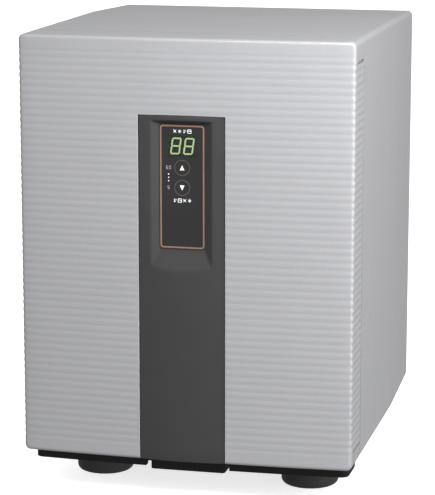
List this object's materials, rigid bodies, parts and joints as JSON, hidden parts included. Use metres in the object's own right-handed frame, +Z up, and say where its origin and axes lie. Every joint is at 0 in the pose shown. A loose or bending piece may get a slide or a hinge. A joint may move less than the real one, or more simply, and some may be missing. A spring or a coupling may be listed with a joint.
{
  "type": "filament dryer box",
  "caption": "Free-standing insulated cabinet with a hinged ribbed door, sunken key panel, wire shelves and a fan-blown heating and cooling stack for filament spools.",
  "frame": {"origin": "on the floor, under the middle of the cabinet's width and depth", "axes": "+Z up, -Y towards the door, +X to the hinged side"},
  "size_m": [0.31, 0.351, 0.427],
  "materials": {
    "silver_plastic": "metallic paint, satin",
    "dark_trim": "metallic dark grey, satin",
    "black_plastic": "fine texture",
    "white_plastic": "smooth",
    "panel_black": "smooth",
    "copper_line": "satin",
    "smoked_window": "polished",
    "lit_digits": "lit segments",
    "circuit_board": "solder mask",
    "bright_steel": "zinc plated",
    "shelf_wire": "bright",
    "sink_metal": "extruded",
    "module_face": "matt",
    "foam": "closed cells",
    "soft_seal": "soft",
    "foot_rubber": "matt"
  },
  "bodies": {
    "cabinet": {"outer_shell": "silver_plastic", "front_frame": "white_plastic", "inner_liner": "white_plastic", "shelf_rails_left": "white_plastic", "shelf_rails_right": "white_plastic", "insulation_foam": "foam", "strike_frame": "bright_steel", "base_pan": "black_plastic", "tray_runners": "black_plastic", "foot_front_left": "foot_rubber", "foot_front_right": "foot_rubber", "foot_rear_left": "foot_rubber", "foot_rear_right": "foot_rubber", "foot_screws": "bright_steel", "drain_tube": "soft_seal", "hinge_bracket_top": "bright_steel", "hinge_bracket_bottom": "bright_steel", "hinge_pins": "bright_steel", "hinge_screws": "bright_steel", "wire_shelf_lower": "shelf_wire", "wire_shelf_upper": "shelf_wire", "inner_fin_sink": "sink_metal", "spacer_block": "sink_metal", "peltier_module": "module_face", "bulkhead_plate": "bright_steel", "outer_heat_sink": "sink_metal", "thermal_cutout": "black_plastic", "clamp_screws": "bright_steel", "outer_fan_frame": "black_plastic", "inner_fan_frame": "black_plastic", "outer_fan_screws": "bright_steel", "inner_fan_cowl": "white_plastic", "rear_cover": "black_plastic", "rear_cover_screws": "bright_steel", "ac_inlet": "black_plastic", "switch_housing": "black_plastic", "power_supply_board": "circuit_board", "temperature_sensor": "black_plastic"},
    "door": {"door_outer_panel": "silver_plastic", "door_inner_panel": "white_plastic", "door_foam": "foam", "door_gasket": "soft_seal", "hinge_cover_top": "silver_plastic", "hinge_cover_bottom": "silver_plastic", "trim_strip": "dark_trim", "control_overlay": "panel_black", "overlay_border": "copper_line", "display_window": "smoked_window", "display_digits": "lit_digits", "display_board": "circuit_board", "board_screws": "bright_steel", "key_switches": "black_plastic", "hinge_bearing_top": "black_plastic", "hinge_bearing_bottom": "black_plastic"},
    "up_key": {"up_key": "panel_black"},
    "down_key": {"down_key": "panel_black"},
    "inner_fan_rotor": {"inner_fan_rotor": "black_plastic"},
    "outer_fan_rotor": {"outer_fan_rotor": "black_plastic"},
    "power_rocker": {"power_rocker": "black_plastic"},
    "drip_tray": {"drip_tray": "black_plastic"}
  },
  "joints": [
    {"name": "door_hinge", "type": "hinge", "parent": "cabinet", "child": "door", "pos_m": [0.147, -0.148, 0.038], "axis": [0, 0, 1], "range_deg": [0, 120]},
    {"name": "up_key_press", "type": "slide", "parent": "door", "child": "up_key", "axis": [0, 1, 0], "range_m": [0, 0.0008], "stiffness_N_per_m": 600},
    {"name": "down_key_press", "type": "slide", "parent": "door", "child": "down_key", "axis": [0, 1, 0], "range_m": [0, 0.0008], "stiffness_N_per_m": 600},
    {"name": "inner_fan_spin", "type": "hinge", "parent": "cabinet", "child": "inner_fan_rotor", "pos_m": [0, 0.083, 0.27], "axis": [0, 1, 0], "continuous": true},
    {"name": "outer_fan_spin", "type": "hinge", "parent": "cabinet", "child": "outer_fan_rotor", "pos_m": [0, 0.159, 0.27], "axis": [0, 1, 0], "continuous": true},
    {"name": "power_rocker_tilt", "type": "hinge", "parent": "cabinet", "child": "power_rocker", "pos_m": [-0.066, 0.1715, 0.088], "axis": [0, 0, -1], "range_deg": [0, 14]},
    {"name": "drip_tray_slide", "type": "slide", "parent": "cabinet", "child": "drip_tray", "axis": [0, -1, 0], "range_m": [0, 0.06]}
  ]
}
